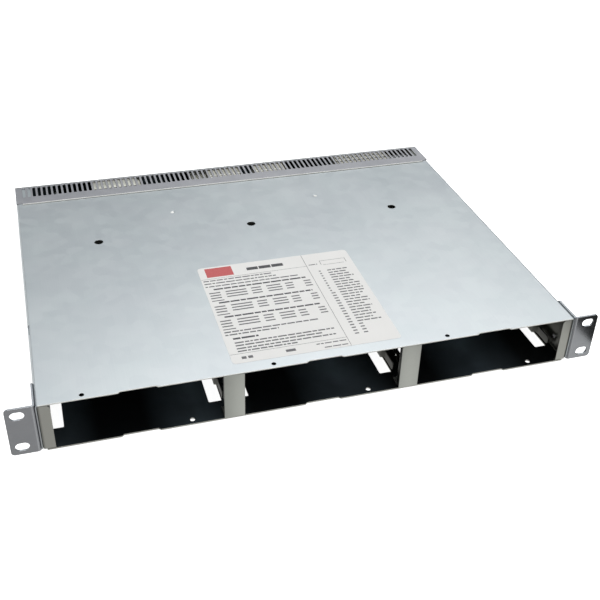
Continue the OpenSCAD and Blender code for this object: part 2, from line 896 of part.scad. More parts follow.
// Film on the floor of the bays, cut out round the posts' feet, the tabs and the holes.
module floor_liner() color(black_film) from_front() {
    flat_w = tray_w - 2 * tray_t - 2 * fold_r;
    opening_w = window_w + relief_w + 2 * slip;
    opening_l = window_l + 2 * tab_overhang + 2 * slip;
    flat(tray_t, bay_floor) difference() {
        translate([-flat_w / 2, slip]) square([flat_w, bay_d - slip]);
        for (x = bay_places) translate([x, 0]) {
            translate([0, slip]) finger_notch();
            translate([catch_x, catch_y]) circle(catch_hole / 2 + slip);
            for (y = window_starts) both_sides()
                translate([(bay_w - window_w + relief_w) / 2, y + window_l / 2])
                    rounded_rect(opening_w, opening_l, window_corner);
        }
        for (s = [-1, 1]) translate([s * bay_pitch / 2 - divider_w / 2 - slip, 0])
            square([divider_w + 2 * slip, post_foot + slip]);
        both_sides() translate([tray_w / 2 - end_flange_w - slip, 0])
            square([end_flange_w + slip, tray_r + slip]);
    }
}

module rear_insulator() color(black_film) from_front() {
    half = tray_w / 2 - rear_flange_w - film_gap;
    top = tray_h - film_gap;
    upright(wall_in - film_t, wall_in) difference() {
        translate([-half, film_z]) square([2 * half, top - film_z]);
        socket_windows(slip);
        window(signal_x, signal_z, signal_flange_w, signal_flange_h);
        translate([earth_x, earth_z]) circle(earth_head_r + slip);
    }
}

// ---------------------------------------------------------------------------
// Connection board

module board_places() {
    for (x = board_hole_x, y = [board_hole_front, board_hole_rear]) translate([x, y]) children();
}

module connection_board() color(board_green) from_front()
    flat(board_top - board_t, board_top) difference() {
        translate([0, board_y + board_d / 2]) rounded_rect(board_w, board_d, board_corner);
        board_places() circle(clear_hole_r);
    }

module board_standoffs() color(nickel) from_front() board_places() {
    h = board_top - board_t - tray_t;
    difference() {
        union() {
            cylinder(r = spigot_r, h = tray_t);
            translate([0, 0, tray_t]) cylinder(r = standoff_r, h = h);
        }
        translate([0, 0, tray_t + h - standoff_thread])
            cylinder(r = m3_r + thread_gap, h = standoff_thread + over);
    }
}

module board_screws() color(nickel) from_front()
    for (x = board_hole_x, y = [board_hole_front, board_hole_rear]) {
        on_bracket = x > terminal_x && y == board_hole_rear;
        translate([x, y, board_top + (on_bracket ? bracket_t : 0)])
            pan_screw(m3_r, m3_head_r, m3_head_h, board_screw_l);
    }

// ---------------------------------------------------------------------------
// Module connectors

// Outline in (X, Z) of all pockets in a connector's face, centred on it.
module pocket_outlines() {
    for (x = power_pocket_x) translate([x, 0]) square([power_pocket_w, pocket_h], center = true);
    translate([signal_pocket_x, 0]) square([signal_pocket_w, pocket_h], center = true);
    for (x = line_pocket_x) translate([x, 0]) square([line_pocket_w, pocket_h], center = true);
}

module module_connector() {
    difference() {
        translate([0, 0, board_top + socket_h / 2]) upright(bay_d, bay_d + socket_d)
            rounded_rect(socket_w, socket_h, socket_corner);
        translate([0, 0, board_top + socket_h / 2]) upright(bay_d - over, bay_d + pocket_d)
            pocket_outlines();
        // The part ahead of the board overhangs it, so its underside is relieved
        translate([-socket_w / 2 - over, bay_d - over, board_top - over])
            cube([socket_w + 2 * over, board_y - bay_d + over, over + socket_step]);
    }
}

module module_contacts() {
    y0 = bay_d + blade_recess;
    y1 = bay_d + pocket_d;
    step = power_pocket_w / blades_per_pocket;
    translate([0, 0, board_top + socket_h / 2]) upright(y0, y1) {
        for (x = power_pocket_x, i = [0 : blades_per_pocket - 1])
            translate([x + (i - (blades_per_pocket - 1) / 2) * step, 0])
                square([blade_t, blade_h], center = true);
        for (x = line_pocket_x) translate([x, 0]) square([blade_t, blade_h], center = true);
        for (i = [0 : signal_columns - 1], j = [0 : signal_rows - 1])
            translate([signal_pocket_x + (i - (signal_columns - 1) / 2) * signal_step_x,
                       (j - (signal_rows - 1) / 2) * signal_step_z])
                square(signal_pin, center = true);
    }
}

module left_connector() color(black_plastic) from_front()
    translate([bay_places[0], 0, 0]) module_connector();
module middle_connector() color(black_plastic) from_front()
    translate([bay_places[1], 0, 0]) module_connector();
module right_connector() color(black_plastic) from_front()
    translate([bay_places[2], 0, 0]) module_connector();
module left_contacts() color(tin) from_front()
    translate([bay_places[0], 0, 0]) module_contacts();
module middle_contacts() color(tin) from_front()
    translate([bay_places[1], 0, 0]) module_contacts();
module right_contacts() color(tin) from_front()
    translate([bay_places[2], 0, 0]) module_contacts();

// ---------------------------------------------------------------------------
// Output bars

module output_bar(x) {
    start = wall_in - bar_inner;
    l = body_d + bar_reach - start;
    flat(bar_z, bar_z + bar_t) translate([x, 0]) difference() {
        translate([0, start + l / 2]) rounded_rect(bar_w, l, bar_corner);
        translate([0, body_d + bar_reach - bar_hole_end]) circle(bar_hole / 2);
        for (y = bar_screw_y) translate([0, y]) circle(m5_r + slip);
    }
}

module negative_bar() color(tin) from_front() output_bar(negative_x);
module positive_bar() color(tin) from_front() output_bar(positive_x);

module bar_feet() color(tin) from_front()
    for (x = [negative_x, positive_x]) difference() {
        flat(board_top, bar_z) translate([x - bar_foot_w / 2, bar_foot_y])
            square([bar_foot_w, bar_foot_d]);
        for (y = bar_screw_y) translate([x, y, board_top + bar_hole_floor])
            cylinder(r = m5_r + thread_gap, h = bar_lift + over);
    }

module bar_screws() color(nickel) from_front()
    for (x = [negative_x, positive_x], y = bar_screw_y) translate([x, y, bar_z + bar_t])
        pan_screw(m5_r, m5_head_r, m5_head_h, bar_t + bar_lift - 2 * bar_hole_floor);

// Insulating collar that lines the rear panel's window round a bar.
module bar_collar(x) {
    w = bar_w + 2 * slip;
    h = bar_t + 2 * slip;
    translate([x, 0, bar_z + bar_t / 2]) difference() {
        union() {
            upright(wall_in - collar_inner, body_d + collar_flange_t)
                square([w + 2 * collar_wall, h + 2 * collar_wall], center = true);
            upright(body_d, body_d + collar_flange_t)
                rounded_rect(w + 2 * collar_flange, h + 2 * collar_flange, collar_corner);
        }
        upright(wall_in - collar_inner - over, body_d + collar_flange_t + over)
            square([w, h], center = true);
    }
}

module negative_collar() color(black_plastic) from_front() bar_collar(negative_x);
module positive_collar() color(black_plastic) from_front() bar_collar(positive_x);

// ---------------------------------------------------------------------------
// Supply terminals

module terminal_block() color(cream) from_front() translate([terminal_x, 0, board_top]) {
    half = terminal_w / 2;
    difference() {
        crosswise(-half, half) difference() {
            translate([terminal_front, 0]) square([terminal_face - terminal_front, terminal_h]);
            for (step = [0, terminal_groove_step])
                translate([wall_in - terminal_groove_in + step, terminal_h - terminal_groove_d])
                    square([terminal_groove_w, 2 * terminal_groove_d]);
        }
        for (i = [0 : poles - 1])
            translate([(i - (poles - 1) / 2) * pole_pitch, 0, terminal_screw_z - board_top])
                rod_y(m3_r + thread_gap, terminal_face - terminal_thread, terminal_face + over);
    }
    for (i = [0 : poles]) translate([(i - poles / 2) * pole_pitch, 0, 0])
        crosswise(-barrier_t / 2, barrier_t / 2) intersection() {
            translate([terminal_face, terminal_h / 2])
                rounded_rect(2 * barrier_reach, terminal_h, barrier_r);
            translate([terminal_face - over, 0]) square([barrier_reach + over, terminal_h]);
        }
}

module terminal_screws() color(nickel) from_front()
    for (i = [0 : poles - 1])
        translate([terminal_x + (i - (poles - 1) / 2) * pole_pitch, terminal_face, terminal_screw_z]) {
            rotate([-90, 0, 0]) translate([0, 0, clamp_t])
                pan_screw(m3_r, terminal_head_r, terminal_head_h, clamp_t + terminal_screw_l);
            upright(0, clamp_t) square([clamp_w, clamp_h], center = true);
        }

module terminal_bracket() color(zinc) from_front() {
    difference() {
        crosswise(bracket_x, bracket_x + bracket_w) {
            translate([bracket_y, board_top]) square([bracket_t, bracket_top - board_top]);
            translate([bracket_y - bracket_flange, bracket_top - bracket_t])
                square([bracket_flange + bracket_t, bracket_t]);
            translate([bracket_y - bracket_foot, board_top])
                square([bracket_foot + bracket_t, bracket_t]);
        }
        translate([outer_hole_x, board_hole_rear, board_top - over])
            cylinder(r = clear_hole_r, h = bracket_t + 2 * over);
    }
}

// ---------------------------------------------------------------------------
// Signal socket

module signal_shield() color(tin) from_front() translate([signal_x, 0, 0]) {
    flange_y = wall_in - signal_flange_t;
    difference() {
        union() {
            translate([0, 0, signal_z]) upright(flange_y, wall_in)
                rounded_rect(signal_flange_w, signal_flange_h, signal_flange_r);
            translate([-signal_w / 2, wall_in - signal_shield_d, board_top])
                cube([signal_w, signal_shield_d - signal_flange_t, signal_shield_h]);
        }
        translate([0, 0, signal_z]) for (s = [-1, 1]) translate([s * jack_screw_span / 2, 0, 0])
            rod_y(jack_shank_r + thread_gap, wall_in - jack_pocket_d, wall_in + over);
    }
    translate([0, 0, signal_z]) upright(wall_in - thread_gap, body_d + signal_shell_reach) difference() {
        socket_outline(0);
        socket_outline(-signal_shell_t);
    }
}

module signal_insert() color(black_plastic) from_front() translate([signal_x, 0, signal_z])
    difference() {
        upright(wall_in, body_d + signal_shell_reach - signal_insert_recess)
            socket_outline(-signal_shell_t - thread_gap);
        upright(body_d, body_d + signal_shell_reach + over) {
            for (i = [-6 : 6]) translate([i * signal_hole_pitch, signal_row_gap / 2])
                circle(signal_hole_r, $fn = 16);
            for (i = [-6 : 5]) translate([(i + 0.5) * signal_hole_pitch, -signal_row_gap / 2])
                circle(signal_hole_r, $fn = 16);
        }
    }

module jack_screws() color(nickel) from_front()
    for (s = [-1, 1]) translate([signal_x + s * jack_screw_span / 2, 0, signal_z]) difference() {
        union() {
            upright(body_d, body_d + jack_screw_l) circle(r = jack_hex / sqrt(3), $fn = 6);
            rod_y(jack_shank_r, wall_in - jack_shank_l, body_d + over);
        }
        rod_y(jack_thread_r, body_d - jack_thread_end, body_d + jack_screw_l + over);
    }

// ---------------------------------------------------------------------------
// Data jack

module data_jack() color(tin) from_front() translate([jack_x, 0, board_top]) {
    rear = body_d + data_proud;
    difference() {
        translate([-jack_w / 2, rear - data_d, 0]) cube([jack_w, data_d, data_h]);
        upright(rear - data_cavity_d, rear + over) {
            translate([-data_cavity_w / 2, data_cavity_z + data_key_h])
                square([data_cavity_w, data_cavity_h]);
            translate([-data_key_w / 2, data_cavity_z]) square([data_key_w, data_key_h + over]);
        }
    }
}

module data_insert() color(black_plastic) from_front() translate([jack_x, 0, board_top]) {
    y0 = body_d + data_proud - data_cavity_d;
    z0 = data_cavity_z + data_key_h;
    comb = data_cavity_w / (2 * data_contacts + 1);
    translate([-data_cavity_w / 2, y0, z0]) cube([data_cavity_w, data_back_t, data_cavity_h]);
    for (i = [0 : data_contacts])
        translate([-data_cavity_w / 2 + 2 * i * comb, y0, z0 + data_cavity_h - data_comb_h])
            cube([comb, data_comb_l, data_comb_h]);
}

// ---------------------------------------------------------------------------
// Earth stud

module earth_stud() color(nickel) from_front() translate([earth_x, 0, earth_z]) {
    rod_y(earth_head_r, wall_in - earth_head_t, wall_in);
    rod_y(earth_r, wall_in - thread_gap, body_d);
    rod_y(earth_pitch_r, body_d - thread_gap, nut_end + thread_gap);
    rod_y(earth_r, nut_end, body_d + earth_l);
}

module earth_nut() color(nickel) from_front() translate([earth_x, 0, earth_z])
    difference() {
        union() {
            rod_y(washer_r, body_d, body_d + washer_t);
            upright(body_d + washer_t, nut_end) circle(r = nut_hex / sqrt(3), $fn = 6);
        }
        rod_y(earth_pitch_r + thread_gap, body_d - over, nut_end + over);
    }

chassis_tray();
guide_tabs();
top_cover();
rear_panel();
left_post();
right_post();
left_guide();
right_guide();
left_ear();
right_ear();
ear_screws();
cover_screws();
rear_panel_screws();
floor_liner();
rear_insulator();
connection_board();
board_standoffs();
board_screws();
left_connector();
middle_connector();
right_connector();
left_contacts();
middle_contacts();
right_contacts();
negative_bar();
positive_bar();
bar_feet();
bar_screws();
negative_collar();
positive_collar();
terminal_block();
terminal_screws();
terminal_bracket();
signal_shield();
signal_insert();
jack_screws();
data_jack();
data_insert();
earth_stud();
earth_nut();
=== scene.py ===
"""Rack power shelf: finishes, label, small details, light and camera on the CAD frame."""
import json
import math
import random

import bmesh
import bpy
from mathutils import Matrix, Vector


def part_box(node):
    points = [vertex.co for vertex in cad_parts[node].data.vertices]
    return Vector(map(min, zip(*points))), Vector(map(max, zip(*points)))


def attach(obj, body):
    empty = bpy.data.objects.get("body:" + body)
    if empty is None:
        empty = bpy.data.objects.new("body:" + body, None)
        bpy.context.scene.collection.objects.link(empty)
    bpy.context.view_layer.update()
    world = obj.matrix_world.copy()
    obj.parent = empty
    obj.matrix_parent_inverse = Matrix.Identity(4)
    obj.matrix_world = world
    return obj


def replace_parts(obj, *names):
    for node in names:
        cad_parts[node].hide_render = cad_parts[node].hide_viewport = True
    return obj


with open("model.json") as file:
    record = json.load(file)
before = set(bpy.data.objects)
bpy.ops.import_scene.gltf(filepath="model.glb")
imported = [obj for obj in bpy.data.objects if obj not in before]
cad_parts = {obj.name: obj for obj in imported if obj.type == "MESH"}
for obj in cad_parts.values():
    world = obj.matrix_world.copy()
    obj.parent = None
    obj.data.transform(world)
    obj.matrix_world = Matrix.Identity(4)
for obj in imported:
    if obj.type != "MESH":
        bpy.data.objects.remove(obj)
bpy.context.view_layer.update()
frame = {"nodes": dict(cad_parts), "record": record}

nodes = frame["nodes"]
slots = {s["node"]: s["material_slot"] for s in frame["record"]["subparts"]}
MM = 0.001
RNG = random.Random(11)
SMOOTH_ANGLE = 28  # degrees; sharper edges stay sharp

cover_lo, cover_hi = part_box("top_cover")
panel_lo, panel_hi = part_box("rear_panel")
FRONT = cover_lo.y  # the cover's front edge; distances to the back are counted from it
COVER_TOP = cover_hi.z
BAY_PITCH = 145.4
LOCK_X, LOCK_Y = 40.5, 4.4  # the hole near the front edge, left of each bay's middle


def place(x, y, z=0.0):
    """Millimetres, y counted from the cover's front edge, to metres in the CAD frame."""
    return Vector((x * MM, FRONT + y * MM, z * MM))


def put(sock, value, link):
    """A socket linked to another one, or set to a constant."""
    if isinstance(value, bpy.types.NodeSocket):
        link(value, sock)
    else:
        sock.default_value = value


def scaled(color, factor):
    """A colour made lighter or darker."""
    return tuple(min(1.0, factor * c) for c in color)


# --------------------------------------------------------------- materials

FINE_BUMP = 0.1 * MM


class Tree:
    """Small helper that adds nodes to one material."""

    def __init__(self, name):
        self.mat = bpy.data.materials.new(name)
        self.mat.use_nodes = True
        self.nt = self.mat.node_tree
        self.shader = self.nt.nodes["Principled BSDF"]
        self.coords = self.nt.nodes.new("ShaderNodeTexCoord").outputs["Object"]

    def node(self, kind, **inputs):
        n = self.nt.nodes.new(kind)
        for key, value in inputs.items():
            put(n.inputs[key.replace("_", " ")], value, self.link)
        return n

    def link(self, a, b):
        self.nt.links.new(a, b)

    def stretched(self, scale, rotation=(0, 0, 0)):
        n = self.node("ShaderNodeMapping", Vector=self.coords, Scale=scale)
        n.inputs["Rotation"].default_value = rotation
        return n.outputs["Vector"]

    def axis(self, name):
        return self.node("ShaderNodeSeparateXYZ", Vector=self.coords).outputs[name]

    def noise(self, scale, detail=3.0, rough=0.5, vector=None):
        n = self.node("ShaderNodeTexNoise", Vector=vector or self.coords, Scale=scale,
                      Detail=detail, Roughness=rough)
        return n.outputs["Fac"]

    def cells(self, scale):
        """A random value in each cell of a Voronoi pattern."""
        n = self.node("ShaderNodeTexVoronoi", Vector=self.coords, Scale=scale)
        return self.node("ShaderNodeSeparateColor", Color=n.outputs["Color"]).outputs["Red"]

    def spread(self, value, low, high, out_low=0.0, out_high=1.0):
        n = self.node("ShaderNodeMapRange", Value=value)
        n.inputs["From Min"].default_value = low
        n.inputs["From Max"].default_value = high
        n.inputs["To Min"].default_value = out_low
        n.inputs["To Max"].default_value = out_high
        return n.outputs["Result"]

    def math(self, op, a, b):
        n = self.nt.nodes.new("ShaderNodeMath")
        n.operation = op
        for sock, value in zip(n.inputs, (a, b)):
            put(sock, value, self.link)
        return n.outputs[0]

    def plus(self, a, b):
        return self.math("ADD", a, b)

    def times(self, a, b):
        return self.math("MULTIPLY", a, b)

    def mix(self, fac, a, b, blend="MIX"):
        n = self.nt.nodes.new("ShaderNodeMix")
        n.data_type = "RGBA"
        n.blend_type = blend
        for name, value in (("Factor", fac), ("A", a), ("B", b)):
            sock = next(s for s in n.inputs if s.name == name and s.enabled)
            put(sock, (*value, 1.0) if isinstance(value, tuple) else value, self.link)
        return next(s for s in n.outputs if s.enabled)

    def bump(self, height, strength, distance, normal=None):
        n = self.node("ShaderNodeBump", Height=height, Strength=strength, Distance=distance)
        if normal:
            self.link(normal, n.inputs["Normal"])
        self.link(n.outputs["Normal"], self.shader.inputs["Normal"])

    def finish(self, color, rough, metallic=0.0, **extra):
        put(self.shader.inputs["Base Color"], color, self.link)
        put(self.shader.inputs["Roughness"], rough, self.link)
        self.shader.inputs["Metallic"].default_value = metallic
        for key, value in extra.items():
            self.shader.inputs[key.replace("_", " ")].default_value = value
        return self.mat


def sheet_steel(name, dark, light, rough, spangle, grain=0.06, edge=0.25, fold=None):
    """Coated sheet steel: spangle, rolling streaks, cloudy tint, a painted highlight along the
    rounded edges, a few handling marks, and from the depth of a fold on a warmer tint."""
    t = Tree(name)
    flakes = t.cells(1 / spangle)
    clouds = t.noise(9.0, 4.0, 0.6)
    tint = t.noise(23.0, 2.0)
    streaks = t.noise(1.0, 4.0, 0.6, t.stretched((1500.0, 9.0, 1500.0)))
    fine = t.noise(2600.0, 2.0, 0.6)
    value = t.plus(t.times(t.spread(clouds, 0.3, 0.7), 0.55), t.times(flakes, 0.25))
    value = t.plus(value, t.times(t.spread(streaks, 0.3, 0.7), 0.2))
    color = t.mix(value, dark, light)
    color = t.mix(t.spread(tint, 0.35, 0.65, 0.0, 0.22), color, (0.93, 1.0, 0.97), "MULTIPLY")
    marks = t.noise(1.0, 6.0, 0.7, t.stretched((700.0, 40.0, 700.0), (0.0, 0.0, 0.5)))
    color = t.mix(t.spread(marks, 0.68, 0.74, 0.0, 0.25), color, scaled(dark, 0.7))
    bevel = t.node("ShaderNodeBevel", Radius=0.6 * MM)
    bevel.samples = 4
    normal = t.node("ShaderNodeNewGeometry").outputs["Normal"]
    dot = t.node("ShaderNodeVectorMath")
    dot.operation = "DOT_PRODUCT"
    t.link(bevel.outputs["Normal"], dot.inputs[0])
    t.link(normal, dot.inputs[1])
    # Painted highlight: the colour turns lighter where the bevel normal leaves the face's normal,
    # along every edge
    painted_edge_highlight = t.spread(dot.outputs["Value"], 0.98, 0.8, 0.0, edge)
    color = t.mix(painted_edge_highlight, color, scaled(light, 1.3))
    if fold:
        past = t.spread(t.axis("Y"), fold - 1.0 * MM, fold + 0.5 * MM)
        color = t.mix(past, color, (0.93, 0.98, 0.85), "MULTIPLY")
    base = t.spread(clouds, 0.3, 0.7, rough - 0.012, rough + 0.015)
    roughness = t.plus(base, t.times(flakes, 0.03))
    height = t.plus(t.times(streaks, 0.5), t.times(fine, 0.5))
    t.bump(height, grain, FINE_BUMP, bevel.outputs["Normal"])
    return t.finish(color, roughness, 1.0)


def plastic(name, color, rough, **extra):
    """Moulded plastic with a fine moulded grain, flow marks and slight colour drift."""
    t = Tree(name)
    drift = t.noise(60.0)
    fine = t.noise(1800.0, 2.0)
    shade = t.mix(t.spread(drift, 0.3, 0.7), scaled(color, 0.85), scaled(color, 1.12))
    t.bump(fine, 0.12, FINE_BUMP)
    return t.finish(shade, t.spread(drift, 0.3, 0.7, rough - 0.05, rough + 0.07), **extra)


def bright_metal(name, dark, light, rough, metallic=1.0):
    """Plated small part: fine turning marks, dull patches."""
    t = Tree(name)
    patches = t.noise(140.0, 4.0, 0.6)
    fine = t.noise(1.0, 3.0, 0.6, t.stretched((900.0, 5000.0, 900.0)))
    color = t.mix(t.spread(patches, 0.3, 0.7), dark, light)
    t.bump(fine, 0.08, FINE_BUMP)
    return t.finish(color, t.spread(patches, 0.3, 0.7, rough - 0.06, rough + 0.08), metallic)


def film(name, color, painted_sheen_color, rough):
    """Thin smooth film, slightly wavy on the sheet below it, with dust and a painted sheen: a
    painted reflection, repeated along the width and brighter towards the back.
    """
    painted_sheen_start, painted_sheen_step = -0.16, 0.12
    t = Tree(name)
    waves = t.noise(28.0, 2.0)
    dust = t.noise(900.0, 4.0, 0.7)
    # Painted reflection: a soft light band in the base colour, repeated every 120 mm along x and
    # brighter towards the back
    across = t.math("FRACT", t.times(t.plus(t.axis("X"), -painted_sheen_start), 1 / painted_sheen_step), 0.0)
    painted_sheen = t.times(t.spread(across, 0.16, 0.5), t.spread(across, 0.86, 0.5))
    painted_sheen = t.times(painted_sheen, t.spread(t.axis("Y"), FRONT - 0.01, FRONT + 0.06, 0.3, 1.0))
    shade = t.mix(t.times(painted_sheen, t.spread(waves, 0.3, 0.6, 0.6, 1.0)), color, painted_sheen_color)
    shade = t.mix(t.spread(dust, 0.62, 0.75, 0.0, 0.1), shade, (0.1, 0.11, 0.12))
    t.bump(waves, 0.25, 0.0004)
    return t.finish(shade, t.spread(dust, 0.3, 0.7, rough - 0.04, rough + 0.1))


def board_mask(name):
    """Solder mask with the faint pattern of wide copper areas below it."""
    t = Tree(name)
    areas = t.cells(70.0)
    fine = t.noise(1500.0, 2.0)
    copper = t.spread(areas, 0.45, 0.5)
    color = t.mix(copper, (0.012, 0.05, 0.03), (0.02, 0.085, 0.05))
    t.bump(t.plus(copper, t.times(fine, 0.3)), 0.2, FINE_BUMP)
    return t.finish(color, t.spread(fine, 0.3, 0.7, 0.28, 0.36))


def paper(name, color):
    """Matt printed film of the label."""
    t = Tree(name)
    tone = t.noise(35.0)
    fine = t.noise(2200.0, 2.0)
    shade = t.mix(t.spread(tone, 0.3, 0.7), scaled(color, 0.97), color)
    t.bump(fine, 0.05, FINE_BUMP)
    return t.finish(shade, t.spread(tone, 0.3, 0.7, 0.42, 0.5))


def ink(name, color):
    """Print: slightly uneven density."""
    t = Tree(name)
    density = t.noise(900.0, 3.0, 0.6)
    faint = tuple(c + 0.04 for c in color)
    return t.finish(t.mix(t.spread(density, 0.3, 0.7), color, faint), 0.5)


GALVANISED = sheet_steel("galvanised", (0.58, 0.61, 0.63), (0.66, 0.69, 0.70), 0.34, 0.010)
TRAY = sheet_steel("tray_steel", (0.54, 0.54, 0.49), (0.62, 0.62, 0.57), 0.36, 0.008)
PLATED = sheet_steel("plated", (0.52, 0.51, 0.535), (0.60, 0.59, 0.615), 0.36, 0.006)
PANEL = sheet_steel("panel_steel", (0.455, 0.448, 0.47), (0.525, 0.518, 0.54), 0.36, 0.006,
                    fold=panel_hi.y - 2.5 * MM)
POST = sheet_steel("post_steel", (0.60, 0.615, 0.565), (0.68, 0.695, 0.645), 0.36, 0.006)
# Darker copy of the sheet steel for the guide tabs: painted shade of the tabs deep in the bays,
# with a stronger painted edge highlight
SHADED_TAB_STEEL = sheet_steel("tab_steel_painted_shade", (0.16, 0.16, 0.145), (0.24, 0.24, 0.22), 0.34, 0.006, edge=0.5)
EAR = sheet_steel("ear_plate", (0.44, 0.45, 0.47), (0.52, 0.53, 0.55), 0.22, 0.004, grain=0.04)
# Pale, non-metallic finish: painted highlight on the edge beads and the caps' ribs; the weld marks
# take the same pale colour
PALE_METAL_AND_HIGHLIGHT = bright_metal("pale_metal_and_painted_highlight", (0.84, 0.84, 0.79), (0.95, 0.95, 0.90), 0.42, 0.0)
SCREW = bright_metal("screw_plate", (0.45, 0.46, 0.47), (0.62, 0.63, 0.64), 0.3)
COPPER = bright_metal("tinned_copper", (0.62, 0.60, 0.54), (0.76, 0.74, 0.68), 0.34, 0.85)
TIN = bright_metal("tinned_steel", (0.52, 0.52, 0.46), (0.66, 0.65, 0.58), 0.38, 0.65)
# The black film's second colour is its painted sheen, a painted reflection
FILM = film("black_film", (0.0022, 0.003, 0.0036), (0.12, 0.16, 0.19), 0.34)
BLACK = plastic("black_plastic", (0.018, 0.018, 0.02), 0.45)
# Near-black, almost without specular: painted shadow in the cover's front holes
HOLE_SHADOW = plastic("painted_hole_shadow", (0.004, 0.004, 0.004), 0.85, Specular_IOR_Level=0.03)
CREAM = plastic("pale_plastic", (0.50, 0.49, 0.42), 0.42)
BOARD = board_mask("circuit_board")
LABEL = paper("label_film", (0.855, 0.84, 0.815))
INK = ink("label_ink", (0.045, 0.045, 0.05))
PALE_INK = ink("label_pale_ink", (0.12, 0.12, 0.125))
RED_INK = ink("label_red_ink", (0.55, 0.09, 0.09))

FINISH = {
    "galvanised_steel": GALVANISED, "plated_steel": PLATED, "nickel_plate": SCREW,
    "black_film": FILM, "black_plastic": BLACK, "pale_plastic": CREAM, "circuit_board": BOARD,
    "tinned_copper": COPPER, "tinned_steel": TIN,
}
OWN = {"left_ear": EAR, "right_ear": EAR, "chassis_tray": TRAY, "guide_tabs": SHADED_TAB_STEEL,
       "rear_panel": PANEL, "left_post": POST, "right_post": POST}


def smooth(obj, angle=SMOOTH_ANGLE):
    for poly in obj.data.polygons:
        poly.use_smooth = True
    obj.data.set_sharp_from_angle(angle=math.radians(angle))
    return obj


for node_name, obj in nodes.items():
    obj.data.materials.clear()
    obj.data.materials.append(OWN.get(node_name) or FINISH[slots[node_name]])
    smooth(obj)

# ------------------------------------------------------------- made pieces


def add_piece(name, bm, material):
    """A mesh of this scene's own, which rides on the shelf."""
    mesh = bpy.data.meshes.new(name)
    bm.to_mesh(mesh)
    bm.free()
    obj = bpy.data.objects.new(name, mesh)
    mesh.materials.append(material)
    bpy.context.scene.collection.objects.link(obj)
    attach(obj, "root")
    return obj


def rounded_outline(w, d, r, steps=8):
    """Corner points of a rounded rectangle about the origin, in millimetres."""
    points = []
    for cx, cy, start in ((1, 1, 0), (-1, 1, 90), (-1, -1, 180), (1, -1, 270)):
        for i in range(steps + 1):
            a = math.radians(start + 90 * i / steps)
            points.append((cx * (w / 2 - r) + r * math.cos(a),
                           cy * (d / 2 - r) + r * math.sin(a)))
    return points


def ring(bm, at, radius, height, sides):
    """A level ring of vertices round a point, at a height over it."""
    turns = [2 * math.pi * k / sides for k in range(sides)]
    return [bm.verts.new((at.x + radius * math.cos(a), at.y + radius * math.sin(a),
                          at.z + height)) for a in turns]


def ring_faces(bm, a, b):
    """Faces between two closed rings of vertices."""
    for k in range(len(a)):
        bm.faces.new((a[k], a[(k + 1) % len(a)], b[(k + 1) % len(a)], b[k]))


def node_mesh(node):
    """A CAD node's mesh with its vertices joined."""
    bm = bmesh.new()
    bm.from_mesh(nodes[node].data)
    bmesh.ops.remove_doubles(bm, verts=bm.verts, dist=1e-6)
    return bm


def slab(bm, points, low, high):
    """A flat plate from points in metres (x, y), between two heights."""
    bottom = [bm.verts.new((x, y, low)) for x, y in points]
    top = [bm.verts.new((x, y, high)) for x, y in points]
    bm.faces.new(list(reversed(bottom)))
    bm.faces.new(top)
    ring_faces(bm, bottom, top)


def rim(node, keep):
    """Chains of points along the upper sharp rim of a node, of the edges that keep() takes."""
    bm = node_mesh(node)
    links = {}
    for e in bm.edges:
        if len(e.link_faces) == 2:
            up = sorted(f.normal.z for f in e.link_faces)
            if up[1] > 0.95 and abs(up[0]) < 0.3 and all(keep(v.co) for v in e.verts):
                a, b = (tuple(round(c, 7) for c in v.co) for v in e.verts)
                links.setdefault(a, []).append(b)
                links.setdefault(b, []).append(a)
    bm.free()
    chains = []
    while links:
        at = min((k for k in links if len(links[k]) == 1), default=min(links))
        chain = [at]
        while links.get(at):
            onward = links[at].pop()
            links[onward].remove(at)
            if not links[at]:
                del links[at]
            chain.append(onward)
            at = onward
        links.pop(at, None)
        chains.append([Vector(c) for c in chain])
    return chains


def tube(bm, points, radius, sides=10):
    """A round bar along points that lie at one height."""
    rings = []
    for i, p in enumerate(points):
        before = (p - points[i - 1]).normalized() if i else None
        after = (points[i + 1] - p).normalized() if i + 1 < len(points) else None
        along = ((before or after) + (after or before)).normalized()
        side = Vector((-along.y, along.x, 0))
        wide = 1 / max(0.5, along.dot(after or before))
        ring = []
        for k in range(sides):
            a = 2 * math.pi * k / sides
            out = side * (radius * wide * math.cos(a)) + Vector((0, 0, radius * math.sin(a)))
            ring.append(bm.verts.new(p + out))
        rings.append(ring)
    for a, b in zip(rings, rings[1:]):
        ring_faces(bm, a, b)
    bm.faces.new(rings[0])
    bm.faces.new(list(reversed(rings[-1])))
    bmesh.ops.recalc_face_normals(bm, faces=bm.faces)


def block(bm, x0, x1, y0, y1, z0, z1, soft=0.3):
    """A box with softened edges, in millimetres."""
    a, b = place(x0, y0, z0), place(x1, y1, z1)
    at = Matrix.Translation((a + b) / 2) @ Matrix.Diagonal((*(b - a), 1))
    made = bmesh.ops.create_cube(bm, size=1.0, matrix=at)
    edges = list(dict.fromkeys(e for v in made["verts"] for e in v.link_edges))
    bmesh.ops.bevel(bm, geom=edges, offset=soft * MM, segments=3, affect="EDGES", profile=0.5)


# Rounded sheared edges: the cover's front, and the front of the slotted strip that lies on it,
# pale for a painted highlight along them
COVER_BEAD, STRIP_BEAD = 0.45 * MM, 0.48 * MM
BEAD_HALF_SPAN = 0.2188
SHORTEST_RIM = 0.01  # leaves out the rims of the small holes


def on_cover_front(c):
    return c.z > COVER_TOP - 1e-5 and c.y < FRONT + 0.012 and abs(c.x) < BEAD_HALF_SPAN


def on_strip_front(c):
    return c.z > panel_hi.z - 1e-5 and c.y < panel_lo.y + 1e-4


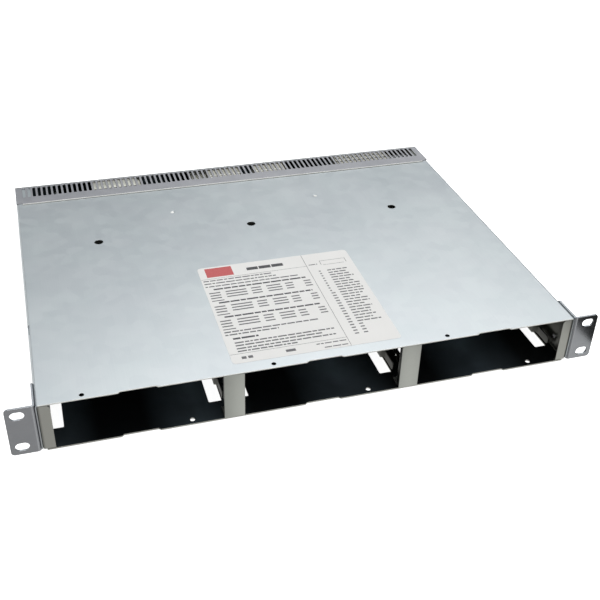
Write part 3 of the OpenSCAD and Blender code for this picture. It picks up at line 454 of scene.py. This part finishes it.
bead = bmesh.new()
for chain in rim("top_cover", on_cover_front):
    if max(abs(c.x - chain[0].x) for c in chain) > SHORTEST_RIM:
        tube(bead, [c - Vector((0, 0, COVER_BEAD)) for c in chain], COVER_BEAD)
smooth(add_piece("cover_front_edge", bead, PALE_METAL_AND_HIGHLIGHT))
bead = bmesh.new()
for chain in rim("rear_panel", on_strip_front):
    tube(bead, [c - Vector((0, 0.3 * MM, 0.49 * MM)) for c in chain], STRIP_BEAD)
smooth(add_piece("strip_front_edge", bead, PALE_METAL_AND_HIGHLIGHT))

# What stands behind the strip is trimmed along the line of sight over the strip's rear fold
SIGHT_POINT = place(0, 350.3, 43.6)
SIGHT_NORMAL = Vector((0, 0.49, 1)).normalized()


def trimmed(node):
    bm = node_mesh(node)
    cut = bmesh.ops.bisect_plane(bm, geom=bm.verts[:] + bm.edges[:] + bm.faces[:],
                                 plane_co=SIGHT_POINT, plane_no=SIGHT_NORMAL, clear_outer=True)
    edges = [e for e in cut["geom_cut"] if isinstance(e, bmesh.types.BMEdge)]
    bmesh.ops.edgenet_fill(bm, edges=edges)
    bmesh.ops.recalc_face_normals(bm, faces=bm.faces)
    piece = add_piece(node + "_trimmed", bm, nodes[node].data.materials[0])
    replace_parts(smooth(piece), node)


for node_name in ("negative_bar", "positive_bar", "terminal_block"):
    trimmed(node_name)

# The posts' front faces, a little wider than the posts
for name in ("left_post", "right_post"):
    lo, hi = (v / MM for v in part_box(name))
    face = bmesh.new()
    block(face, lo.x - 0.6, hi.x + 0.4, -0.42, -0.02, lo.z + 0.1, hi.z - 0.1, 0.12)
    smooth(add_piece(name + "_face", face, POST))

# Covers that show through the strip's slots, over the bars, the terminal block and the signal
# socket
SET_OFF = 0.02  # keeps faces that meet apart
LID_TOP = 43.2
BOARD_TOP, TERMINAL_TOP = (v.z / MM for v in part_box("terminal_block"))
SHIELD_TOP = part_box("signal_shield")[1].z / MM
CAP_FRONT, CAP_REAR, CAP_TOP = 325.0, 347.5, 42.7
CAP_WALL, CAP_ROOF = 1.2, 0.8
RIB_INSET, RIB_R = 1.0, 0.7
for name, x0, x1 in (("negative", -22.6, 12.2), ("positive", 27.6, 61.2)):
    cap = bmesh.new()
    block(cap, x0, x1, CAP_FRONT, CAP_REAR, CAP_TOP - CAP_ROOF, CAP_TOP)
    for side in (x0, x1 - CAP_WALL):
        block(cap, side, side + CAP_WALL, CAP_FRONT, CAP_REAR, BOARD_TOP + SET_OFF,
              CAP_TOP - CAP_ROOF + 0.05)
    smooth(add_piece(name + "_bar_cap", cap, CREAM))
    # Pale ribs along the caps: painted highlights on the caps seen through the slots
    ribs = bmesh.new()
    for y in (329.0, 333.4):
        ends = [place(x0 + RIB_INSET, y, CAP_TOP - 0.1), place(x1 - RIB_INSET, y, CAP_TOP - 0.1)]
        tube(ribs, ends, RIB_R * MM, 14)
    smooth(add_piece(name + "_bar_cap_ribs", ribs, PALE_METAL_AND_HIGHLIGHT))
lid = bmesh.new()
for y0, y1 in ((329.2, 333.4), (335.4, 341.2), (343.2, 348.8)):
    block(lid, 121.0, 181.4, y0, y1, TERMINAL_TOP + SET_OFF, LID_TOP)
smooth(add_piece("terminal_cover", lid, CREAM))
# Black strips at the bottom of the grooves between the lid's segments: painted shade
groove_shade = bmesh.new()
for y0, y1 in ((333.3, 335.5), (341.1, 343.3)):
    block(groove_shade, 121.4, 181.0, y0, y1, TERMINAL_TOP + SET_OFF, TERMINAL_TOP + 0.5, 0.1)
smooth(add_piece("terminal_cover_groove_shade", groove_shade, BLACK))
lid = bmesh.new()
block(lid, -142.8, -98.0, 330.0, 348.8, SHIELD_TOP + SET_OFF, LID_TOP)
smooth(add_piece("signal_shield_lid", lid, TIN))

# Spot-weld marks of the two guides that hang below the cover: flat domes on ordered rings, so
# that their meshes come out the same in each run
WELD_X, WELD_Y = 73.6, 262.6
WELD_R, WELD_H = 1.7 * MM, 0.16 * MM
WELD_SIDES, WELD_LEVELS = 20, 10
weld = bmesh.new()
for x in (-WELD_X, WELD_X):
    at = place(x, WELD_Y)
    at.z = COVER_TOP
    tilts = [math.pi * k / WELD_LEVELS for k in range(1, WELD_LEVELS)]
    loops = [ring(weld, at, WELD_R * math.sin(a), WELD_H * math.cos(a), WELD_SIDES)
             for a in tilts]
    for upper, lower in zip(loops, loops[1:]):
        ring_faces(weld, lower, upper)
    top, bottom = (weld.verts.new((at.x, at.y, at.z + z)) for z in (WELD_H, -WELD_H))
    for k in range(WELD_SIDES):
        onward = (k + 1) % WELD_SIDES
        weld.faces.new((top, loops[0][k], loops[0][onward]))
        weld.faces.new((bottom, loops[-1][onward], loops[-1][k]))
smooth(add_piece("spot_weld_marks", weld, PALE_METAL_AND_HIGHLIGHT), 60)

# Black rings round and down into the cover's front holes, painted shadow that makes the holes read
# dark and wide: radius and height over the cover, in millimetres
RIM_LEVELS = ((1.56, -1.0), (1.56, 0.04), (1.75, 0.04), (1.9, 0.0))
RIM_SIDES = 32
hole_shadow_rings = bmesh.new()
for bay in (-1, 0, 1):
    at = place(BAY_PITCH * bay - LOCK_X, LOCK_Y)
    at.z = COVER_TOP
    loops = [ring(hole_shadow_rings, at, r * MM, z * MM, RIM_SIDES) for r, z in RIM_LEVELS]
    for a, b in zip(loops, loops[1:]):
        ring_faces(hole_shadow_rings, a, b)
bmesh.ops.recalc_face_normals(hole_shadow_rings, faces=hole_shadow_rings.faces)
smooth(add_piece("front_hole_shadow_rings", hole_shadow_rings, HOLE_SHADOW))

# Rating label: plain rules, bars and one field of colour, with no words on it
LABEL_W, LABEL_D = 139.5, 142.0
LABEL_LEFT, LABEL_REAR = -71.1, 153.3
LABEL_CORNER = 3.5
LABEL_TOP = COVER_TOP + 0.12 * MM
INK_T = 0.02 * MM
RULE = 0.35
BOX_RULE = 0.4
WORD_GAP = 0.9
sheet = bmesh.new()
centre = place(LABEL_LEFT + LABEL_W / 2, LABEL_REAR - LABEL_D / 2)
outline = [(centre.x + x * MM, centre.y + y * MM)
           for x, y in rounded_outline(LABEL_W, LABEL_D, LABEL_CORNER)]
slab(sheet, outline, COVER_TOP, LABEL_TOP)
add_piece("rating_label", sheet, LABEL)


def on_label(bm, x, y, w, h):
    """A printed bar: x from the label's left edge, y from its rear edge to the bar's middle."""
    a = place(LABEL_LEFT + x, LABEL_REAR - y - h / 2)
    b = place(LABEL_LEFT + x + w, LABEL_REAR - y + h / 2)
    slab(bm, [(a.x, a.y), (b.x, a.y), (b.x, b.y), (a.x, b.y)], LABEL_TOP, LABEL_TOP + INK_T)


def words(bm, x, y, length, h, shortest=2.0, longest=8.0):
    """A line of greeked words: bars of chance lengths with gaps."""
    end = x + length
    while x < end - 0.6:
        w = min(RNG.uniform(shortest, longest), end - x)
        on_label(bm, x, y, w, h)
        x += w + WORD_GAP


dark_print, pale_print, red_print = bmesh.new(), bmesh.new(), bmesh.new()
on_label(pale_print, 96.2, LABEL_D / 2, RULE, LABEL_D - 0.6)
on_label(pale_print, 0.3, 19.4, 95.9, RULE)
on_label(pale_print, 0.3, 130.2, 95.9, RULE)
on_label(red_print, 6.2, 9.6, 24.0, 14.6)
words(dark_print, 43.0, 10.8, 33.5, 4.6, 8.0, 13.0)
for y, length in ((22.4, 61.0), (26.8, 64.0), (31.4, 84.0)):
    words(pale_print, 1.6, y, length, 1.5)
TABLE_COLUMNS = ((2.6, 9.8), (16.6, 18.6), (39.0, 9.0), (52.8, 13.2), (69.4, 7.4), (86.6, 6.6))
for group in (36.4, 57.4, 78.9):
    words(dark_print, 7.6, group, 82.5, 2.0, 4.0, 10.0)
    for row in range(3):
        y = group + 5.4 + 3.9 * row
        for x, w in TABLE_COLUMNS:
            on_label(pale_print, x + RNG.uniform(0, 0.3), y, w - RNG.uniform(0, 0.8), 1.5)
    on_label(pale_print, 2.6, group + 17.4, 10.6, 1.2)
for x, y, length in ((2.6, 100.3, 79.0), (2.6, 104.2, 44.5), (7.4, 115.8, 83.0),
                     (7.4, 119.6, 71.5), (7.4, 123.6, 82.0), (7.4, 127.2, 49.0)):
    words(pale_print, x, y, length, 1.6)
words(dark_print, 7.4, 110.2, 21.0, 2.2, 6.0, 12.0)
words(pale_print, 69.8, 133.6, 25.0, 1.2)
words(pale_print, 75.0, 139.0, 19.5, 1.2)
words(pale_print, 98.6, 18.2, 8.0, 1.2)
for x, w in ((8.4, 3.8), (13.6, 3.8), (44.0, 8.0)):
    on_label(pale_print, x, 135.8, w, 3.2)
for y, x, w in ((13.6, 110.0, 23.0), (20.6, 111.5, 20.0)):
    on_label(pale_print, x, y, w, BOX_RULE)
for x in (109.8, 133.6):
    on_label(pale_print, x, 16.6, BOX_RULE, 7.0)
for row in range(25):
    y = 30.2 + 4.04 * row
    on_label(pale_print, 104.4, y, 3.6 if row > 8 else 1.8, 1.5)
    words(pale_print, 112.2, y, 3.6 if row > 20 else RNG.uniform(15.0, 22.5), 1.5, 3.0, 7.0)
add_piece("label_dark_print", dark_print, INK)
add_piece("label_pale_print", pale_print, PALE_INK)
add_piece("label_colour_field", red_print, RED_INK)

# ------------------------------------------------------------------- stage


def ground_sheet(name, x0, x1, y0, y1, z, material):
    """A rectangle on the ground that belongs to the stage."""
    mesh = bpy.data.meshes.new(name)
    mesh.from_pydata([(x0, y0, 0), (x1, y0, 0), (x1, y1, 0), (x0, y1, 0)], [], [(0, 1, 2, 3)])
    mesh.materials.append(material)
    obj = bpy.data.objects.new(name, mesh)
    obj.location.z = z
    bpy.context.scene.collection.objects.link(obj)
    return obj


FLOOR_REACH = 12.0
t = Tree("floor_paint")
tone = t.mix(t.noise(1.3, 2.0), (0.80, 0.80, 0.80), (0.83, 0.83, 0.83))
paint = t.finish(tone, 0.6, Emission_Color=(1.0, 1.0, 1.0, 1.0), Emission_Strength=0.92)
floor = ground_sheet("floor", -FLOOR_REACH, FLOOR_REACH, -FLOOR_REACH, FLOOR_REACH, -0.0008, paint)
floor.visible_glossy = floor.visible_diffuse = False

# A dark card on the ground at the right, which only reflections see
paint = Tree("card_paint").finish((0.01, 0.01, 0.01, 1.0), 0.9)
card = ground_sheet("dark_card", 0.255, 0.9, -0.6, 0.25, -0.0006, paint)
card.visible_camera = card.visible_diffuse = False
card.visible_shadow = card.visible_transmission = False

world = bpy.data.worlds.new("studio")
bpy.context.scene.world = world
world.use_nodes = True
wt = world.node_tree
outward = wt.nodes.new("ShaderNodeTexCoord").outputs["Generated"]
split = wt.nodes.new("ShaderNodeSeparateXYZ")
wt.links.new(outward, split.inputs[0])


def grey(v, blue=0.0):
    return (v * (1 - blue), v * (1 - 0.4 * blue), v)


def sky_ramp(value, stops):
    """Greys along a value between -1 and 1, from stops of (value, grey, blueness)."""
    span = wt.nodes.new("ShaderNodeMapRange")
    span.inputs["From Min"].default_value = -1.0
    wt.links.new(value, span.inputs["Value"])
    ramp = wt.nodes.new("ShaderNodeValToRGB")
    wt.links.new(span.outputs["Result"], ramp.inputs["Fac"])
    points = ramp.color_ramp.elements
    while len(points) < len(stops):
        points.new(0.5)
    for point, (at, *tone) in zip(points, stops):
        point.position = (at + 1) / 2
        point.color = (*grey(*tone), 1)
    return ramp.outputs["Color"]


def sky_toward(direction, stops):
    """Greys by how near a direction of the sky is to a given one."""
    dot = wt.nodes.new("ShaderNodeVectorMath")
    dot.operation = "DOT_PRODUCT"
    wt.links.new(outward, dot.inputs[0])
    dot.inputs[1].default_value = direction
    return sky_ramp(dot.outputs["Value"], stops)


def sky_mix(blend, a, b):
    n = wt.nodes.new("ShaderNodeMix")
    n.data_type, n.blend_type = "RGBA", blend
    n.inputs[0].default_value = 1.0
    wt.links.new(a, n.inputs[6])
    wt.links.new(b, n.inputs[7])
    return n.outputs[2]


# Brightest high up, behind and to the right, with a front light and a low one at the left for
# the rounded edges; the ground glows dimly, more in the middle than at the sides
SKY_STRENGTH = 2.0
sky = sky_toward((0.235, 0.345, 0.909), (
    (-0.15, 0.0), (0.1, 0.02), (0.45, 0.03, 0.2), (0.62, 0.03, 0.22), (0.70, 0.08, 0.2),
    (0.75, 0.18, 0.16), (0.81, 0.37, 0.12), (0.87, 0.66, 0.04), (0.93, 0.84), (1.0, 0.90)))
low = sky_ramp(split.outputs["Z"], (
    (-1.0, 0.31), (-0.66, 0.34), (-0.5, 0.34), (-0.35, 0.29), (-0.05, 0.04), (0.02, 0.0)))
middle = sky_ramp(split.outputs["X"], (
    (-1.0, 0.4), (-0.35, 0.5), (0.0, 0.66), (0.17, 0.9), (0.36, 1.12), (0.5, 0.88), (1.0, 0.4)))
ahead = sky_toward((0.1, -0.75, 0.65), ((-1.0, 0.0), (0.55, 0.0), (0.82, 0.26), (1.0, 0.34)))
beside = sky_toward((-0.62, 0.77, 0.14), ((-1.0, 0.0), (0.82, 0.0), (0.95, 0.4), (1.0, 0.5)))
above = sky_mix("ADD", sky_mix("ADD", sky, ahead), beside)
background = wt.nodes["Background"]
wt.links.new(sky_mix("ADD", above, sky_mix("MULTIPLY", low, middle)), background.inputs["Color"])
background.inputs["Strength"].default_value = SKY_STRENGTH

# A soft light from above, behind and to the right
LIGHT_AT = Vector((0.5, 0.5, 2.3))
light = bpy.data.lights.new("top_light", "AREA")
light.shape = "RECTANGLE"
light.size, light.size_y, light.energy = 1.6, 1.6, 12.0
lamp = bpy.data.objects.new("top_light", light)
lamp.location = LIGHT_AT
lamp.rotation_mode = "QUATERNION"
lamp.rotation_quaternion = (-LIGHT_AT).to_track_quat("-Z", "Y")
bpy.context.scene.collection.objects.link(lamp)

# ------------------------------------------------------------------ camera

CAMERA_AT = place(-191.4, -531.9, 478.0)
forward = Vector((0.2511, 0.7907, -0.5584)).normalized()
right = Vector((0.958, -0.2856, 0.0264)).normalized()
up = right.cross(forward).normalized()
camera_data = bpy.data.cameras.new("camera")
camera_data.sensor_width = 36.0
camera_data.lens = 54.97
camera_data.clip_start, camera_data.clip_end = 0.01, 60.0
camera = bpy.data.objects.new("camera", camera_data)
camera.matrix_world = Matrix((right, up, -forward)).transposed().to_4x4()
camera.location = CAMERA_AT
bpy.context.scene.collection.objects.link(camera)
bpy.context.scene.camera = camera
bpy.context.scene.view_settings.view_transform = "Standard"
